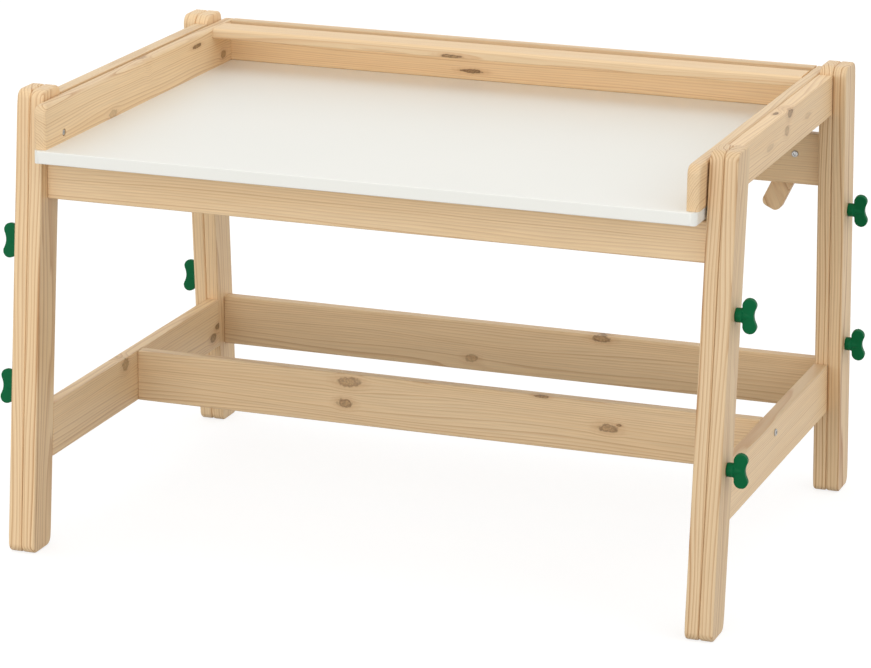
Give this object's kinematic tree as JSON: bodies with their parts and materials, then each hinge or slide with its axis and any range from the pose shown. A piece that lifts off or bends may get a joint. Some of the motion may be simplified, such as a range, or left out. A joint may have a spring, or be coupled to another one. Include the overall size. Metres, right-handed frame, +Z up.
{
  "type": "childrens table",
  "caption": "Child's pine writing table with splayed two-layer sliding legs, clamp knobs, and a tilting white top in a bordered tray held by swinging props.",
  "frame": {"origin": "on the floor under the middle of the table, legs at their lowest setting", "axes": "+X to the table's right along its width, +Y from front to back, +Z up"},
  "size_m": [0.971, 0.668, 0.586],
  "materials": {
    "pine": "clear-lacquered knotty pine",
    "pine_cross": "clear-lacquered pine, straight grain",
    "white_panel": "fibreboard with satin white coating",
    "green_plastic": "moulded green plastic",
    "zinc_steel": "zinc-plated steel",
    "beech": "plain beech"
  },
  "bodies": {
    "frame": {"inner_leg_front_left": "pine", "track_front_left": "zinc_steel", "inner_leg_front_right": "pine", "track_front_right": "zinc_steel", "inner_leg_rear_left": "pine", "track_rear_left": "zinc_steel", "inner_leg_rear_right": "pine", "track_rear_right": "zinc_steel", "top_rail_left": "pine", "top_rail_right": "pine", "lower_rail_left": "pine", "lower_rail_right": "pine", "front_apron": "pine_cross", "rear_apron": "pine_cross", "front_stretcher": "pine_cross", "rear_stretcher": "pine_cross", "rest_blocks": "beech", "frame_dowels": "beech", "frame_bolts": "zinc_steel", "stretcher_bolts": "zinc_steel", "barrel_nuts": "zinc_steel", "pivot_bolts": "zinc_steel", "pivot_washers": "zinc_steel", "pivot_inserts": "zinc_steel", "prop_bolts": "zinc_steel", "prop_nuts": "zinc_steel"},
    "tabletop": {"tabletop_panel": "white_panel", "border_left": "pine", "border_right": "pine", "rear_border": "pine_cross", "ledge": "pine", "border_screws": "zinc_steel", "border_dowels": "beech"},
    "prop_left": {"prop_left": "pine_cross"},
    "prop_right": {"prop_right": "pine_cross"},
    "leg_front_left": {"outer_leg_front_left": "pine", "track_nuts_front_left": "zinc_steel"},
    "knob_front_left_upper": {"knob_front_left_upper": "green_plastic", "stud_front_left_upper": "zinc_steel"},
    "knob_front_left_lower": {"knob_front_left_lower": "green_plastic", "stud_front_left_lower": "zinc_steel"},
    "leg_front_right": {"outer_leg_front_right": "pine", "track_nuts_front_right": "zinc_steel"},
    "knob_front_right_upper": {"knob_front_right_upper": "green_plastic", "stud_front_right_upper": "zinc_steel"},
    "knob_front_right_lower": {"knob_front_right_lower": "green_plastic", "stud_front_right_lower": "zinc_steel"},
    "leg_rear_left": {"outer_leg_rear_left": "pine", "track_nuts_rear_left": "zinc_steel"},
    "knob_rear_left_upper": {"knob_rear_left_upper": "green_plastic", "stud_rear_left_upper": "zinc_steel"},
    "knob_rear_left_lower": {"knob_rear_left_lower": "green_plastic", "stud_rear_left_lower": "zinc_steel"},
    "leg_rear_right": {"outer_leg_rear_right": "pine", "track_nuts_rear_right": "zinc_steel"},
    "knob_rear_right_upper": {"knob_rear_right_upper": "green_plastic", "stud_rear_right_upper": "zinc_steel"},
    "knob_rear_right_lower": {"knob_rear_right_lower": "green_plastic", "stud_rear_right_lower": "zinc_steel"}
  },
  "joints": [
    {"name": "tabletop_tilt", "type": "hinge", "parent": "frame", "child": "tabletop", "pos_m": [0, -0.2624, 0.5315], "axis": [1, 0, 0], "range_deg": [0, 5]},
    {"name": "prop_left_swing", "type": "hinge", "parent": "frame", "child": "prop_left", "pos_m": [-0.39, 0.27806, 0.462], "axis": [0, -1, 0], "range_deg": [0, 150]},
    {"name": "prop_right_swing", "type": "hinge", "parent": "frame", "child": "prop_right", "pos_m": [0.39, 0.27806, 0.462], "axis": [0, 1, 0], "range_deg": [0, 150]},
    {"name": "leg_front_left_slide", "type": "slide", "parent": "frame", "child": "leg_front_left", "axis": [0, -0.0872, -0.9962], "range_m": [0, 0.186]},
    {"name": "knob_front_left_upper_turn", "type": "hinge", "parent": "leg_front_left", "child": "knob_front_left_upper", "pos_m": [-0.46, -0.27474, 0.39051], "axis": [1, 0, 0], "range_deg": [0, 450]},
    {"name": "knob_front_left_lower_turn", "type": "hinge", "parent": "leg_front_left", "child": "knob_front_left_lower", "pos_m": [-0.46, -0.29095, 0.20522], "axis": [1, 0, 0], "range_deg": [0, 450]},
    {"name": "leg_front_right_slide", "type": "slide", "parent": "frame", "child": "leg_front_right", "axis": [0, -0.0872, -0.9962], "range_m": [0, 0.186]},
    {"name": "knob_front_right_upper_turn", "type": "hinge", "parent": "leg_front_right", "child": "knob_front_right_upper", "pos_m": [0.46, -0.27474, 0.39051], "axis": [1, 0, 0], "range_deg": [0, 450]},
    {"name": "knob_front_right_lower_turn", "type": "hinge", "parent": "leg_front_right", "child": "knob_front_right_lower", "pos_m": [0.46, -0.29095, 0.20522], "axis": [1, 0, 0], "range_deg": [0, 450]},
    {"name": "leg_rear_left_slide", "type": "slide", "parent": "frame", "child": "leg_rear_left", "axis": [0, 0.0872, -0.9962], "range_m": [0, 0.186]},
    {"name": "knob_rear_left_upper_turn", "type": "hinge", "parent": "leg_rear_left", "child": "knob_rear_left_upper", "pos_m": [-0.46, 0.27474, 0.39051], "axis": [1, 0, 0], "range_deg": [0, 450]},
    {"name": "knob_rear_left_lower_turn", "type": "hinge", "parent": "leg_rear_left", "child": "knob_rear_left_lower", "pos_m": [-0.46, 0.29095, 0.20522], "axis": [1, 0, 0], "range_deg": [0, 450]},
    {"name": "leg_rear_right_slide", "type": "slide", "parent": "frame", "child": "leg_rear_right", "axis": [0, 0.0872, -0.9962], "range_m": [0, 0.186]},
    {"name": "knob_rear_right_upper_turn", "type": "hinge", "parent": "leg_rear_right", "child": "knob_rear_right_upper", "pos_m": [0.46, 0.27474, 0.39051], "axis": [1, 0, 0], "range_deg": [0, 450]},
    {"name": "knob_rear_right_lower_turn", "type": "hinge", "parent": "leg_rear_right", "child": "knob_rear_right_lower", "pos_m": [0.46, 0.29095, 0.20522], "axis": [1, 0, 0], "range_deg": [0, 450]}
  ],
  "couplings": [
    {"joint": "prop_left_swing", "follows": "tabletop_tilt", "ratio": 30},
    {"joint": "prop_right_swing", "follows": "tabletop_tilt", "ratio": 30}
  ]
}
